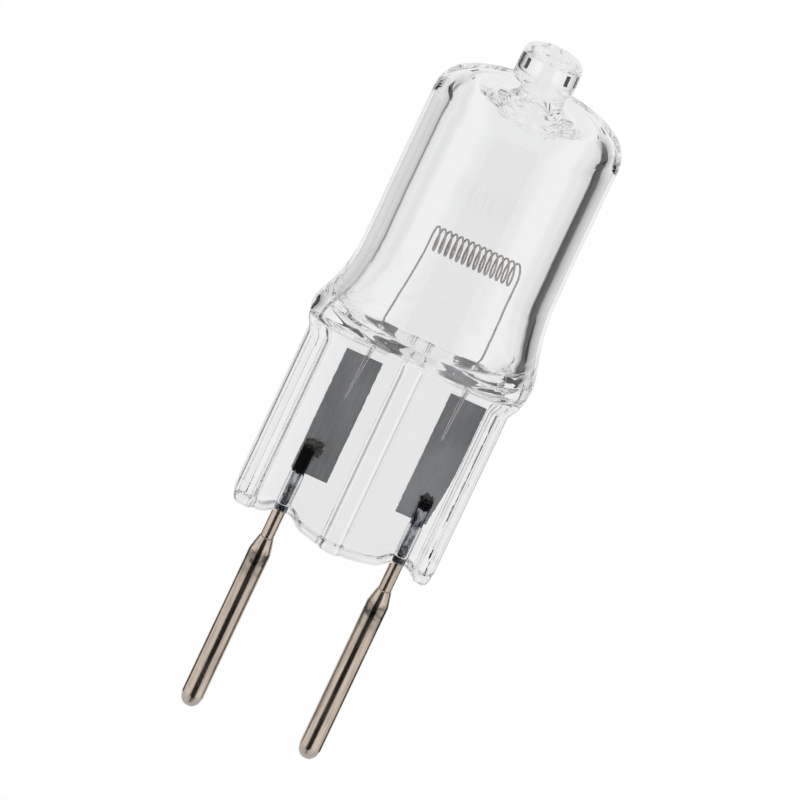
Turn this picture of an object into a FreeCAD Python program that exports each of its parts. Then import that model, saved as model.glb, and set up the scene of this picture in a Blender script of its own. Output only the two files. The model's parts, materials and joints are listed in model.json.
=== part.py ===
"""A halogen capsule bulb with a two-pin base, in millimetres.

The pins point down and their tips stand at height 0. X runs across the flat pinch seal, Y through its
thickness and Z up the lamp. The origin is midway between the two contact pins.
"""
import FreeCAD, Part
import math
import os
import Sketcher

DOC = FreeCAD.newDocument("halogen_capsule")
SHEET = DOC.addObject("Spreadsheet::Sheet", "sizes")
LEFT, RIGHT = -1, 1
SIDE_NAME = {LEFT: "left", RIGHT: "right"}
# The filament's section and each of its half turns are drawn with this many straight lines
WIRE_SIDES = 5
CHORDS = 8
MITRED = 1
# The cavity's upper edge is two cones, which meet this share of the edge's radius inside its corner
EDGE_IN = 0.3

# The shoulder above its widest level: share of flare_run, of the widening, and of the barrel's depth
FLARE_SHAPE = ((1.0, 0.0, 1.0), (0.75, 0.06, 0.998), (0.5, 0.26, 0.99), (0.28, 0.6, 0.965),
               (0.12, 0.9, 0.89), (0.0, 1.0, 0.77))
# The shoulder below it: share of tuck_run, of the way in to the pinch, and of the barrel's depth
TUCK_SHAPE = ((0.28, 0.95, 0.50), (0.55, 0.66, 0.28), (1.0, 0.0, 0.06))
# The cavity above its floor: share of cavity_run, of its widening, and of the bore's depth
TROUGH_SHAPE = ((1.0, 0.0, 1.0), (0.7, 0.18, 0.985), (0.45, 0.55, 0.93), (0.25, 0.96, 0.78),
                (0.1, 0.9, 0.45), (0.0, 0.0, 0.12))


class Size:
    """A length together with the sheet expression that gives it."""

    def __init__(self, value, text):
        self.value = float(value)
        self.text = text

    def joined(self, other, sign, value):
        return Size(value, "(%s %s %s)" % (self.text, sign, as_size(other).text))

    def __add__(self, other):
        return self.joined(other, "+", self.value + as_size(other).value)

    def __sub__(self, other):
        return self.joined(other, "-", self.value - as_size(other).value)

    def __mul__(self, other):
        return self.joined(other, "*", self.value * as_size(other).value)

    def __truediv__(self, other):
        return self.joined(other, "/", self.value / as_size(other).value)


def as_size(number):
    """A plain number as a Size, so that both can be added and multiplied."""
    return number if isinstance(number, Size) else Size(number, "%.6f" % number)


class Sizes:
    """The driving dimensions: one that is set here goes into the sheet, and is read back as a Size."""

    def __setattr__(self, alias, value):
        row = len(vars(self)) + 1
        SHEET.set("A%d" % row, alias.replace("_", " "))
        SHEET.set("B%d" % row, str(value))
        SHEET.setAlias("B%d" % row, alias)
        vars(self)[alias] = Size(value, "sizes." + alias)


mm = Sizes()

# Contact pins, leads and foils
mm.pin_spacing = 6.35       # distance between the pin axes
mm.pin_dia = 1.13           # contact pin, outside
mm.pin_body = 8.7           # height of the thick part of a pin above its tip
mm.pin_taper = 1.0          # height of the swaged cone above the thick part
mm.pin_nose = 0.6           # height of the rounded tip
mm.pin_end_dia = 0.56       # flat at the very end of the tip
mm.pin_lip = 0.03           # wall of the sleeve where the cone ends on the lead
mm.lead_dia = 0.68          # outer lead wire
mm.lead_grip = 4.5          # length of lead held inside a pin
mm.foil_width = 1.93        # foil, across
mm.foil_height = 6.73       # foil, up the lamp
mm.foil_base = 13.5         # lower end of the foils above the pin tips
mm.foil_thick = 0.03        # foil at its middle
mm.foil_feather = 0.12      # width of the etched, tapering foil edge
mm.foil_pitch = 5.56        # distance between the foil centres
mm.foil_shift = 0.17        # both foils sit off the pins' middle by this
mm.weld_lap = 1.25          # length of lead that overlaps its foil
mm.weld_flat = 0.03         # depth that a lead is pressed flat at its weld

# Filament
mm.wire_dia = 0.095         # tungsten wire
mm.coil_dia = 1.27          # filament coil, outside
mm.coil_length = 4.72       # coil, from leg to leg
mm.coil_turns = 14          # whole turns; half a turn more sets the legs on opposite sides
mm.coil_height = 27.25      # coil axis above the pin tips
mm.coil_shift = 0.18        # coil centre off the pins' middle
mm.leg_pitch = 5.17         # distance between the legs in the pinch
mm.leg_lap = 2.4            # length of leg that overlaps its foil
mm.leg_bend = 1.1           # height of a leg's lower bend above the cavity floor
mm.leg_crank = 1.3          # height over which a leg cranks out to its coil end
mm.leg_round = 0.45         # radius of a leg's bends
mm.leg_flat = 0.008         # depth that a leg is pressed flat on its foil

# Pinch seal
mm.glass_shift = -0.28      # glass axis off the pins' middle
mm.pinch_width = 10.6       # pinch, across
mm.pinch_thick = 3.2        # pinch, through its ribs
mm.web_thick = 2.5          # pinch, through its flat panels
mm.edge_rib = 0.92          # width of the rib at each edge of the pinch
mm.centre_rib = 0.94        # width of the rib between the panels
mm.rib_slope = 0.16         # width of the slope from a rib to its panel
mm.pinch_round = 0.5        # radius of the pinch's long edges
mm.pinch_base = 11.0        # lower end of the pinch above the pin tips
mm.corner_round = 0.8       # radius of the pinch's lower corners
mm.exit_rise = 0.4          # how far the glass draws back where a lead leaves it
mm.exit_width = 0.8         # width of that drawn-back place
mm.tongue_drop = 0.35       # how far the tongue between the pins hangs below the base
mm.lead_gap = 0.05          # capillary gap round a lead in the glass
mm.leg_gap = 0.05           # capillary gap round a leg in the glass

# Bulb
mm.barrel_dia = 10.0        # straight barrel, outside
mm.wall = 1.0               # wall of the barrel
mm.flare_width = 11.7       # widest place, above the pinch
mm.flare_height = 21.95     # height of the widest place
mm.flare_run = 5.0          # height over which the barrel widens
mm.tuck_run = 1.45          # height over which the shoulder closes on the pinch
mm.bulb_top = 35.9          # crown of the dome above the pin tips
mm.crown_fall = 0.2         # how far the crown falls to the dome's shoulder
mm.dome_round = 1.5         # radius of the dome's shoulder
mm.cavity_dome_round = 1.3  # radius of the cavity's upper edge
mm.crown_wall = 1.3         # glass above the cavity
mm.seal_rise = 1.32         # solid quartz between the foils' top and the cavity's floor
mm.cavity_flare = 9.0       # widest place of the cavity
mm.cavity_run = 3.9         # height over which the cavity widens, above its floor

# Exhaust tip
mm.neck_dia = 2.3           # neck under the exhaust tip
mm.neck_round = 0.35        # fillet between neck and dome
mm.tip_dia = 3.24           # sealed-off exhaust tip
mm.tip_base = 36.35         # underside of the tip above the pin tips
mm.tip_top = 38.35          # top of the tip above the pin tips
mm.tip_shift = -0.18        # tip centre off the glass axis
mm.tip_round = 0.45         # radius of the tip's edges
mm.bead_drop = 0.35         # glass bead hanging round the exhaust hole, below the ceiling
mm.bead_dia = 4.2           # width of that bead at the ceiling
mm.mouth_dia = 2.4          # mouth of the exhaust hole
mm.hole_dia = 1.0           # exhaust hole in the neck
mm.hole_end_dia = 0.45      # sealed end of the hole
mm.hole_top = 37.4          # sealed end of the hole above the pin tips

SHEET.recompute()

wire_r = mm.wire_dia / 2
lead_r = mm.lead_dia / 2
barrel_r = mm.barrel_dia / 2
coil_r = mm.coil_dia / 2 - wire_r
foil_face = lead_r - mm.weld_flat
foil_top = mm.foil_base + mm.foil_height
floor_height = foil_top + mm.seal_rise
leg_depth = foil_face - wire_r + mm.leg_flat
flare_top = mm.flare_height + mm.flare_run
ceiling = mm.bulb_top - mm.crown_wall
sleeve_top = mm.pin_body + mm.pin_taper


def bind(thing, prop, size):
    """Tie a property to the sheet."""
    thing.setExpression(prop, as_size(size).text)


def vector(x, y, z):
    """A FreeCAD vector from sizes or numbers."""
    return FreeCAD.Vector(as_size(x).value, as_size(y).value, as_size(z).value)


def place(thing, x=0, y=0, z=0):
    """Tie an object's position to the sheet."""
    for axis, size in zip("xyz", (x, y, z)):
        bind(thing, "Placement.Base." + axis, size)
    thing.Placement = FreeCAD.Placement(vector(x, y, z), thing.Placement.Rotation)


def new_body(name):
    """An empty body whose label is its name."""
    body = DOC.addObject("PartDesign::Body", name)
    body.Label = name
    return body


def new_sketch(body, name, role, lift=0):
    """A sketch on one of the body's own origin planes, lifted off it along the plane's normal."""
    plane = [f for f in body.Origin.OriginFeatures if f.Role == role][0]
    sketch = body.newObject("Sketcher::SketchObject", name)
    sketch.AttachmentSupport = (plane, "")
    sketch.MapMode = "FlatFace"
    bind(sketch, "AttachmentOffset.Base.z", lift)
    return sketch


def hold_point(sketch, geometry, end, x, y):
    """Dimension one point of a sketch from the sketch's origin."""
    for kind, axis, size in (("DistanceX", -2, as_size(x)), ("DistanceY", -1, as_size(y))):
        if size.value == 0:
            sketch.addConstraint(Sketcher.Constraint("PointOnObject", geometry, end, axis))
            continue
        index = sketch.addConstraint(Sketcher.Constraint(kind, -1, 1, geometry, end, size.value))
        sketch.setExpression("Constraints[%d]" % index, size.text)


def corner_arc(before, corner, after, radius):
    """The start, middle and end of the arc that rounds a corner."""
    toward = (before - corner).normalize()
    away = (after - corner).normalize()
    half = toward.getAngle(away) / 2
    reach = radius / math.tan(half)
    middle = corner + (toward + away).normalize() * (radius / math.sin(half) - radius)
    return corner + toward * reach, middle, corner + away * reach


def outline(sketch, corners):
    """Draw a closed outline through corners (x, y, radius); a radius of 0 leaves a sharp corner."""
    points = [vector(x, y, 0) for x, y, _ in corners]
    count = len(corners)
    arcs = []
    for i, (_, _, radius) in enumerate(corners):
        arc = (points[i],) * 3
        if as_size(radius).value > 0:
            arc = corner_arc(points[i - 1], points[i], points[(i + 1) % count], as_size(radius).value)
        arcs.append(arc)
    lines = [sketch.addGeometry(Part.LineSegment(arcs[i][2], arcs[(i + 1) % count][0]))
             for i in range(count)]
    for i, (x, y, radius) in enumerate(corners):
        arriving, leaving = lines[i - 1], lines[i]
        if as_size(radius).value == 0:
            sketch.addConstraint(Sketcher.Constraint("Coincident", arriving, 2, leaving, 1))
            hold_point(sketch, leaving, 1, x, y)
            continue
        arc = sketch.addGeometry(Part.Arc(*arcs[i]))
        first = 1 if sketch.getPoint(arc, 1).distanceToPoint(arcs[i][0]) < 1e-6 else 2
        corner = sketch.addGeometry(Part.Point(points[i]), True)
        hold_point(sketch, corner, 1, x, y)
        sketch.addConstraint(Sketcher.Constraint("PointOnObject", corner, 1, arriving))
        sketch.addConstraint(Sketcher.Constraint("PointOnObject", corner, 1, leaving))
        sketch.addConstraint(Sketcher.Constraint("Tangent", arriving, 2, arc, first))
        sketch.addConstraint(Sketcher.Constraint("Tangent", arc, 3 - first, leaving, 1))
        index = sketch.addConstraint(Sketcher.Constraint("Radius", arc, as_size(radius).value))
        bind(sketch, "Constraints[%d]" % index, radius)


def turned(name, corners):
    """A body turned about the vertical axis from an outline of (radius, height) corners."""
    body = new_body(name)
    sketch = new_sketch(body, name + "_section", "XZ_Plane")
    outline(sketch, corners)
    turn = body.newObject("PartDesign::Revolution", name + "_turn")
    turn.Profile = sketch
    turn.ReferenceAxis = (sketch, ["V_Axis"])
    turn.Angle = 360
    return body


def contact_pin(side):
    """A sleeve with a blind bore, swaged to a cone on its lead and rounded at its tip."""
    bore_end = sleeve_top - mm.lead_grip
    body = turned("contact_pin_" + SIDE_NAME[side], (
        (0, 0, 0),
        (mm.pin_end_dia / 2, 0, 0),
        (mm.pin_dia / 2, mm.pin_nose, mm.pin_nose / 2),
        (mm.pin_dia / 2, mm.pin_body, 0),
        (lead_r + mm.pin_lip, sleeve_top, 0),
        (lead_r, sleeve_top, 0),
        (lead_r, bore_end, 0),
        (0, bore_end, 0),
    ))
    place(body, mm.pin_spacing * side / 2)
    return body


def cylinder(name, radius, base, top, x, y=0):
    """An upright cylinder between two heights."""
    solid = DOC.addObject("Part::Cylinder", name)
    bind(solid, "Radius", radius)
    bind(solid, "Height", top - base)
    place(solid, x, y, base)
    return solid


def press(name, width, base, height, x):
    """The block behind a wire that flattens it where it lies on its foil."""
    block = DOC.addObject("Part::Box", name + "_press")
    bind(block, "Length", width)
    bind(block, "Width", width)
    bind(block, "Height", height)
    place(block, x - width / 2, foil_face, base)
    return block


def less(name, base, tool):
    """One solid with another cut out of it."""
    cut = DOC.addObject("Part::Cut", name)
    cut.Base = base
    cut.Tool = tool
    return cut


def outer_lead(side):
    """A round wire from inside its pin to its foil, pressed flat where it is welded on."""
    name = "outer_lead_" + SIDE_NAME[side]
    wire = cylinder(name + "_wire", lead_r, sleeve_top - mm.lead_grip, mm.foil_base + mm.weld_lap,
                    mm.pin_spacing * side / 2)
    return less(name, wire, press(name, mm.lead_dia, mm.foil_base, mm.weld_lap, mm.pin_spacing * side / 2))


def foil(side):
    """A thin strip with both long edges etched down to a feather edge."""
    body = new_body("foil_" + SIDE_NAME[side])
    sketch = new_sketch(body, body.Name + "_section", "XY_Plane")
    half, flat, skin = mm.foil_width / 2, mm.foil_width / 2 - mm.foil_feather, mm.foil_thick / 2
    outline(sketch, (
        (half, 0, 0), (flat, skin, 0), (flat * -1, skin, 0),
        (half * -1, 0, 0), (flat * -1, skin * -1, 0), (flat, skin * -1, 0),
    ))
    pad = body.newObject("PartDesign::Pad", body.Name + "_strip")
    pad.Profile = sketch
    bind(pad, "Length", mm.foil_height)
    place(body, mm.foil_shift + mm.foil_pitch * side / 2, foil_face + skin, mm.foil_base)
    return body


def rounded_path(points, radii):
    """Straight edges through the points, with an arc of the given radius at each inner point."""
    edges = []
    start = points[0]
    for before, corner, after, radius in zip(points, points[1:], points[2:], radii):
        enter, middle, leave = corner_arc(before, corner, after, radius)
        edges.append(Part.LineSegment(start, enter).toShape())
        edges.append(Part.Arc(enter, middle, leave).toShape())
        start = leave
    edges.append(Part.LineSegment(start, points[-1]).toShape())
    return edges


def bar_along(edges, radius):
    """A drawn wire swept along a path; its section is a few-sided outline of the round wire's area."""
    first = edges[0]
    turn = 2 * math.pi / WIRE_SIDES
    reach = radius * math.sqrt(turn / math.sin(turn))
    ring = Part.Circle(first.valueAt(first.FirstParameter), first.tangentAt(first.FirstParameter), reach)
    corners = [ring.value(turn * i) for i in range(WIRE_SIDES)]
    section = Part.makePolygon(corners + corners[:1])
    return Part.Wire(edges).makePipeShell([section], True, False, MITRED)


def leg_points(side):
    """A leg from its end on the foil up to where it becomes the coil.

    The left leg joins the coil at its back and the right leg at its front, so that both run straight
    into the turn that passes over the top.
    """
    leg_x = mm.leg_pitch.value * side / 2
    coil_x = mm.coil_shift.value + mm.coil_length.value * side / 2
    coil_y = coil_r.value * side * -1
    return [
        FreeCAD.Vector(leg_x, leg_depth.value, (foil_top - mm.leg_lap).value),
        FreeCAD.Vector(leg_x, leg_depth.value, (floor_height + mm.leg_bend).value),
        FreeCAD.Vector(coil_x, coil_y, (floor_height + mm.leg_bend + mm.leg_crank).value),
        FreeCAD.Vector(coil_x, coil_y, mm.coil_height.value),
    ]


def coil_edges():
    """The coil in short chords, which start upwards at the back and end downwards at the front."""
    count = CHORDS * (int(mm.coil_turns.value) * 2 + 1)
    first = FreeCAD.Vector(mm.coil_shift.value - mm.coil_length.value / 2, 0, mm.coil_height.value)
    points = []
    for i in range(count + 1):
        turn = math.pi * i / CHORDS
        round_x = FreeCAD.Vector(0, math.cos(turn), math.sin(turn)) * coil_r.value
        points.append(first + FreeCAD.Vector(mm.coil_length.value * i / count, 0, 0) + round_x)
    return [Part.LineSegment(start, stop).toShape() for start, stop in zip(points, points[1:])]


def merged(name, pieces):
    """Several solids made one."""
    union = DOC.addObject("Part::MultiFuse", name)
    union.Shapes = pieces
    union.Refine = True
    return union


def filament():
    """One wire: up the left leg, through the coil and down the right leg, with both ends pressed flat."""
    left = rounded_path(leg_points(LEFT), (mm.leg_round.value, mm.leg_round.value))
    right = rounded_path(leg_points(RIGHT)[::-1], (mm.leg_round.value, mm.leg_round.value))
    wire = DOC.addObject("Part::Feature", "filament_wire")
    wire.Shape = bar_along(left + coil_edges() + right, wire_r.value)
    presses = []
    for side in (LEFT, RIGHT):
        presses.append(press("leg_" + SIDE_NAME[side], mm.wire_dia * 2, foil_top - mm.leg_lap,
                             mm.leg_lap, mm.leg_pitch * side / 2))
    return less("filament", wire, merged("leg_presses", presses))


def lofted(name, levels):
    """A solid through level ellipses (height, half width, half depth), straight from each to the next."""
    rings = []
    for i, (height, half_width, half_depth) in enumerate(levels):
        ring = DOC.addObject("Part::Ellipse", "%s_ring_%d" % (name, i))
        bind(ring, "MajorRadius", half_width)
        bind(ring, "MinorRadius", half_depth)
        place(ring, mm.glass_shift, 0, height)
        rings.append(ring)
    loft = DOC.addObject("Part::Loft", name)
    loft.Sections = rings
    loft.Solid = True
    loft.Ruled = True
    return loft


def shoulder():
    """The barrel's lower end, which widens to the flare and then closes flat on the pinch."""
    spread = (mm.flare_width - mm.barrel_dia) / 2
    bite = (mm.flare_width - mm.pinch_width) / 2
    levels = [(mm.flare_height + mm.flare_run * up, barrel_r + spread * out, barrel_r * deep)
              for up, out, deep in FLARE_SHAPE]
    levels += [(mm.flare_height - mm.tuck_run * down, mm.pinch_width / 2 + bite * out, barrel_r * deep)
               for down, out, deep in TUCK_SHAPE]
    return lofted("shoulder", levels)


def cavity_floor():
    """The cavity's lower end, which widens with the barrel and closes in a trough along the pinch."""
    bore_r = barrel_r - mm.wall
    spread = mm.cavity_flare / 2 - bore_r
    levels = [(floor_height + mm.cavity_run * up, bore_r + spread * out, bore_r * deep)
              for up, out, deep in TROUGH_SHAPE]
    return lofted("cavity_floor", levels)


def barrel_and_dome():
    """The straight barrel, its domed end and the neck of the exhaust tip."""
    body = turned("barrel_and_dome", (
        (0, flare_top, 0),
        (barrel_r, flare_top, 0),
        (barrel_r, mm.bulb_top - mm.crown_fall, mm.dome_round),
        (mm.neck_dia / 2 + mm.neck_round, mm.bulb_top - mm.neck_round / 8, 0),
        (mm.neck_dia / 2, mm.bulb_top + mm.neck_round, 0),
        (mm.neck_dia / 2, mm.tip_base + mm.tip_round, 0),
        (0, mm.tip_base + mm.tip_round, 0),
    ))
    place(body, mm.glass_shift)
    return body


def exhaust_tip():
    """The bead left where the exhaust tube was melted off, a little off the lamp's axis."""
    body = turned("exhaust_tip", (
        (0, mm.tip_base, 0),
        (mm.tip_dia / 2 - mm.tip_round, mm.tip_base, 0),
        (mm.tip_dia / 2, mm.tip_base + mm.tip_round, 0),
        (mm.tip_dia / 2, mm.tip_top, mm.tip_round),
        (0, mm.tip_top, 0),
    ))
    place(body, mm.glass_shift + mm.tip_shift)
    return body


def cavity_and_hole():
    """The straight part of the cavity, its ceiling with the hanging bead, and the sealed exhaust hole."""
    bore_r = barrel_r - mm.wall
    body = turned("cavity_and_hole", (
        (0, floor_height + mm.cavity_run, 0),
        (bore_r, floor_height + mm.cavity_run, 0),
        (bore_r, ceiling - mm.cavity_dome_round, 0),
        (bore_r - mm.cavity_dome_round * EDGE_IN, ceiling - mm.cavity_dome_round * EDGE_IN, 0),
        (bore_r - mm.cavity_dome_round, ceiling, 0),
        (mm.bead_dia / 2, ceiling, 0),
        (mm.mouth_dia / 2, ceiling - mm.bead_drop, 0),
        (mm.hole_dia / 2, mm.bulb_top, 0),
        (mm.hole_end_dia / 2, mm.hole_top, 0),
        (0, mm.hole_top, 0),
    ))
    place(body, mm.glass_shift)
    return body


def pinch():
    """The flat seal: ribs at its edges and middle, thinner panels over the foils, and a wavy lower end."""
    body = new_body("pinch")
    low = mm.pinch_base - mm.tongue_drop
    section = new_sketch(body, "pinch_section", "XY_Plane", low)
    edge, rib, web, middle = mm.pinch_width / 2, mm.pinch_thick / 2, mm.web_thick / 2, mm.centre_rib / 2
    inner = edge - mm.edge_rib
    right_half = ((edge, rib, mm.pinch_round), (inner, rib, 0), (inner - mm.rib_slope, web, 0),
                  (middle + mm.rib_slope, web, 0), (middle, rib, 0))
    top = right_half + tuple((x * -1, y, r) for x, y, r in reversed(right_half))
    bottom = tuple((x, y * -1, r) for x, y, r in reversed(top))
    outline(section, top + bottom)
    pad = body.newObject("PartDesign::Pad", "pinch_press")
    pad.Profile = section
    bind(pad, "Length", mm.flare_height - low)
    DOC.recompute()
    foot = new_sketch(body, "foot_outline", "XZ_Plane")
    beyond = edge + 1
    drawn = mm.pinch_base + mm.exit_rise

    def lead_exit(side):
        """The place drawn back round a lead, from its outer to its inner end."""
        lead_x = mm.pin_spacing * side / 2 - mm.glass_shift
        return ((lead_x + mm.exit_width * side, mm.pinch_base, mm.exit_width / 2),
                (lead_x + mm.exit_width * side / 2, drawn, mm.exit_width / 4),
                (lead_x - mm.exit_width * side / 2, drawn, mm.exit_width / 2))

    left = ((edge * -1, mm.pinch_base, mm.corner_round),) + lead_exit(LEFT)
    right = lead_exit(RIGHT)[::-1] + ((edge, mm.pinch_base, mm.corner_round),)
    apex = ((mm.glass_shift * -1, mm.pinch_base - mm.tongue_drop * 2, mm.pin_spacing * 0.75),)
    side = mm.pinch_base + mm.corner_round * 2
    frame = ((edge, side, 0), (beyond, side, 0), (beyond, low - 1, 0),
             (beyond * -1, low - 1, 0), (beyond * -1, side, 0), (edge * -1, side, 0))
    outline(foot, left + apex + right + frame)
    cut = body.newObject("PartDesign::Pocket", "foot_cut")
    cut.Profile = foot
    cut.Type = "ThroughAll"
    cut.Midplane = True
    place(body, mm.glass_shift)
    return body


def quartz_envelope(inside):
    """The quartz, hollow above the pinch and sealed on the foils, leads and legs that pass through it."""
    outside = merged("blank", [barrel_and_dome(), exhaust_tip(), shoulder(), pinch()])
    gaps = []
    for side in (LEFT, RIGHT):
        gaps.append(cylinder("lead_gap_" + SIDE_NAME[side], lead_r + mm.lead_gap,
                             mm.pinch_base - mm.tongue_drop, mm.foil_base - mm.lead_gap,
                             mm.pin_spacing * side / 2))
        gaps.append(cylinder("leg_gap_" + SIDE_NAME[side], wire_r + mm.leg_gap, foil_top + mm.leg_gap,
                             floor_height + mm.leg_bend / 2, mm.leg_pitch * side / 2, leg_depth))
    hollow = merged("hollow", [cavity_and_hole(), cavity_floor()] + gaps + inside)
    hollow.Refine = False
    return less("quartz_envelope", outside, hollow)


def check_and_write(nodes):
    """Stop on any failed object; then write each sub-part to its own file."""
    DOC.recompute()
    for thing in DOC.Objects:
        failed = [word for word in thing.State if word in ("Invalid", "Error")]
        if failed:
            raise RuntimeError("%s: %s" % (thing.Name, failed))
    for node in nodes:
        if node.Shape.isNull() or not node.Shape.isValid():
            raise RuntimeError(node.Label + " has no valid shape")
    os.makedirs("parts", exist_ok=True)
    for node in nodes:
        node.Shape.exportStep("parts/%s.step" % node.Label)
        print("%-20s %2d solid, %9.4f mm3" % (node.Label, len(node.Shape.Solids), node.Shape.Volume))


leads = [outer_lead(side) for side in (LEFT, RIGHT)]
foils = [foil(side) for side in (LEFT, RIGHT)]
inside = leads + foils + [filament()]
pins = [contact_pin(side) for side in (LEFT, RIGHT)]
check_and_write([quartz_envelope(inside)] + inside + pins)
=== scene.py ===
# %% [markdown]
# # A halogen capsule lamp in clear quartz
#
# The real lamp is one blown and pressed piece of quartz. A coiled tungsten wire hangs across its bulb, two
# thin foils carry the current through the flat seal, and two metal pins plug into the lampholder.
#
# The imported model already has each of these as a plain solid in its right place. This notebook rebuilds
# them finely enough for a close photograph: clear glass shows every facet, so its skin has to be smooth.

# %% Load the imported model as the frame
import json
import math

import bmesh
import bpy
import numpy as np
from mathutils import Matrix, Vector

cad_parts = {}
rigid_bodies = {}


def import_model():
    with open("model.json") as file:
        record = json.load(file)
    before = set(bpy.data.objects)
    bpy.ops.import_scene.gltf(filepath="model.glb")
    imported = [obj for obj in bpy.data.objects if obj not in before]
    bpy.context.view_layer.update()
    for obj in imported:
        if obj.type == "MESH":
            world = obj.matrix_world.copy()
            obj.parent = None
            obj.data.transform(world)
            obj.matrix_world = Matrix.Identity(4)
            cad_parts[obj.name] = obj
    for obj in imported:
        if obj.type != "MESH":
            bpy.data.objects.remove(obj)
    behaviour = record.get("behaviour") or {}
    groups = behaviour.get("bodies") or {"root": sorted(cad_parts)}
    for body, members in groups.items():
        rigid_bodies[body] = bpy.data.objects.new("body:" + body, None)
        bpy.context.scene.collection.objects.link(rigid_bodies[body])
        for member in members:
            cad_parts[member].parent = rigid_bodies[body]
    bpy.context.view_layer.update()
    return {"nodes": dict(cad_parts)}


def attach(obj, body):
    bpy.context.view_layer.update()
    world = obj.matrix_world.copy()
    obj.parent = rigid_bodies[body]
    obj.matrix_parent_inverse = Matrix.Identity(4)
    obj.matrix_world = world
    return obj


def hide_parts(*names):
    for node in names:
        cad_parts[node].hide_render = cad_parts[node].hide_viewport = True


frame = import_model()
MM = 0.001
print("nodes:", sorted(frame["nodes"]))

# %% [markdown]
# ## Helpers for shapes
#
# A piece could be made from primitives and modifiers, but glass this clear needs points exactly where its
# surface bends. So every piece is a surface given by two parameters: one runs along the piece and one runs
# round it. The whole grid of points is worked out at once, and its faces are the grid's cells. Grids that
# belong to one piece are joined, and points that meet at a seam or a pole are welded.

# %% Grids of points to meshes
WELD = 1e-4


def grid_of(x, y, z):
    """One grid of points from three arrays that fit each other."""
    return np.stack(np.broadcast_arrays(x, y, z), axis=-1)


def grid_cells(rows, columns, closed):
    """Corner numbers of each cell of a grid; a closed grid's last column is joined to its first."""
    last = columns if closed else columns - 1
    row, column = np.meshgrid(np.arange(rows - 1), np.arange(last), indexing="ij")
    here, above, right = row * columns, (row + 1) * columns, (column + 1) % columns
    cells = [here + column, here + right, above + right, above + column]
    return np.stack(cells, axis=-1).reshape(-1, 4)


def quad_mesh(name, points, cells):
    """A mesh of flat four-sided faces from points in mm and the corner numbers of each face."""
    mesh = bpy.data.meshes.new(name)
    mesh.vertices.add(len(points))
    mesh.vertices.foreach_set("co", (points * MM).ravel())
    mesh.loops.add(cells.size)
    mesh.loops.foreach_set("vertex_index", cells.ravel())
    mesh.polygons.add(len(cells))
    mesh.polygons.foreach_set("loop_start", np.arange(0, cells.size, 4))
    mesh.polygons.foreach_set("use_smooth", np.zeros(len(cells), bool))
    mesh.update(calc_edges=True)
    return mesh


def into_scene(name, data):
    """A new object with that mesh or camera."""
    thing = bpy.data.objects.new(name, data)
    bpy.context.scene.collection.objects.link(thing)
    return thing


def make_piece(name, grids):
    """A smooth piece from grids of points in mm, each with two flags: closed round, and inside out."""
    points, cells, start = [], [], 0
    for grid, closed, inside_out in grids:
        rows, columns = grid.shape[:2]
        faces = grid_cells(rows, columns, closed) + start
        cells.append(faces[:, ::-1] if inside_out else faces)
        points.append(grid.reshape(-1, 3))
        start += rows * columns
    mesh = quad_mesh(name, np.concatenate(points), np.concatenate(cells))
    shape = bmesh.new()
    shape.from_mesh(mesh)
    bmesh.ops.remove_doubles(shape, verts=shape.verts, dist=WELD * MM)
    bmesh.ops.dissolve_degenerate(shape, edges=shape.edges, dist=WELD * MM)
    shape.to_mesh(mesh)
    shape.free()
    mesh.polygons.foreach_set("use_smooth", np.ones(len(mesh.polygons), bool))
    piece = into_scene(name, mesh)
    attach(piece, "root")
    print("%s: %d triangles" % (name, len(mesh.loops) - 2 * len(mesh.polygons)))
    return piece


# %% [markdown]
# Blown glass has no sharp bends. A table of a few heights and sizes gives each form, and averaging it over
# a small window rounds its corners. Two more tools fade one form into another: a smooth step, and a soft
# way to take the larger of two depths, which leaves a fillet between them.


# %% Rounded tables and soft steps
def pairs(a, b):
    """Two arrays as a table of pairs."""
    return np.stack([a, b], axis=-1)


def eased(table, at, blur):
    """Values of a straight-line table at some places, averaged over a window of that width."""
    table = np.asarray(table, float)
    offsets = np.linspace(-1, 1, 15)
    weights = (1 - offsets ** 2) ** 2
    places = np.asarray(at, float)[..., None] + offsets * blur / 2
    return (np.interp(places, table[:, 0], table[:, 1]) * weights).sum(-1) / weights.sum()


def step(value, low, high):
    """0 below low, 1 above high and a smooth rise between: share squared times three less twice the share."""
    share = np.clip((np.asarray(value, float) - low) / (high - low), 0, 1)
    return share * share * (3 - 2 * share)


def larger(a, b, soft):
    """The larger of two values, with a fillet of about that size where they are equal."""
    return (a + b + np.sqrt((a - b) ** 2 + soft ** 2)) / 2


def wander(z, size, blur, seed):
    """Small random values along z, averaged until they run smoothly into each other."""
    return eased(pairs(z, np.random.default_rng(seed).normal(0, size, len(z))), z, blur)


# %% [markdown]
# The dome, the cavity, the leads and the pins are turned forms. A bezier curve with a Screw modifier would
# make them too, but a polyline with a radius at each corner says in plain numbers what a lathe drawing
# would say.

# %% Turned forms
SAME_POINT = 1e-6
STRAIGHT_STEPS = 3


def distances(line):
    """Distance of each point of a line from its start, measured along the line."""
    return np.concatenate([[0], np.cumsum(np.linalg.norm(np.diff(line, axis=0), axis=1))])


def corner_arc(before, corner, after, radius, spacing):
    """The arc that touches both sides of a corner, swung about its middle from side to side."""
    back = (before - corner) / np.linalg.norm(before - corner)
    ahead = (after - corner) / np.linalg.norm(after - corner)
    half = math.acos(np.clip(back @ ahead, -1, 1)) / 2
    middle = corner + (back + ahead) / np.linalg.norm(back + ahead) * radius / math.sin(half)
    first = corner + back * radius / math.tan(half) - middle
    last = corner + ahead * radius / math.tan(half) - middle
    turn = math.pi - 2 * half
    share = np.linspace(0, 1, max(4, int(turn * radius / spacing) + 2))[:, None]
    return middle + (first * np.sin((1 - share) * turn) + last * np.sin(share * turn)) / math.sin(turn)


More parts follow.
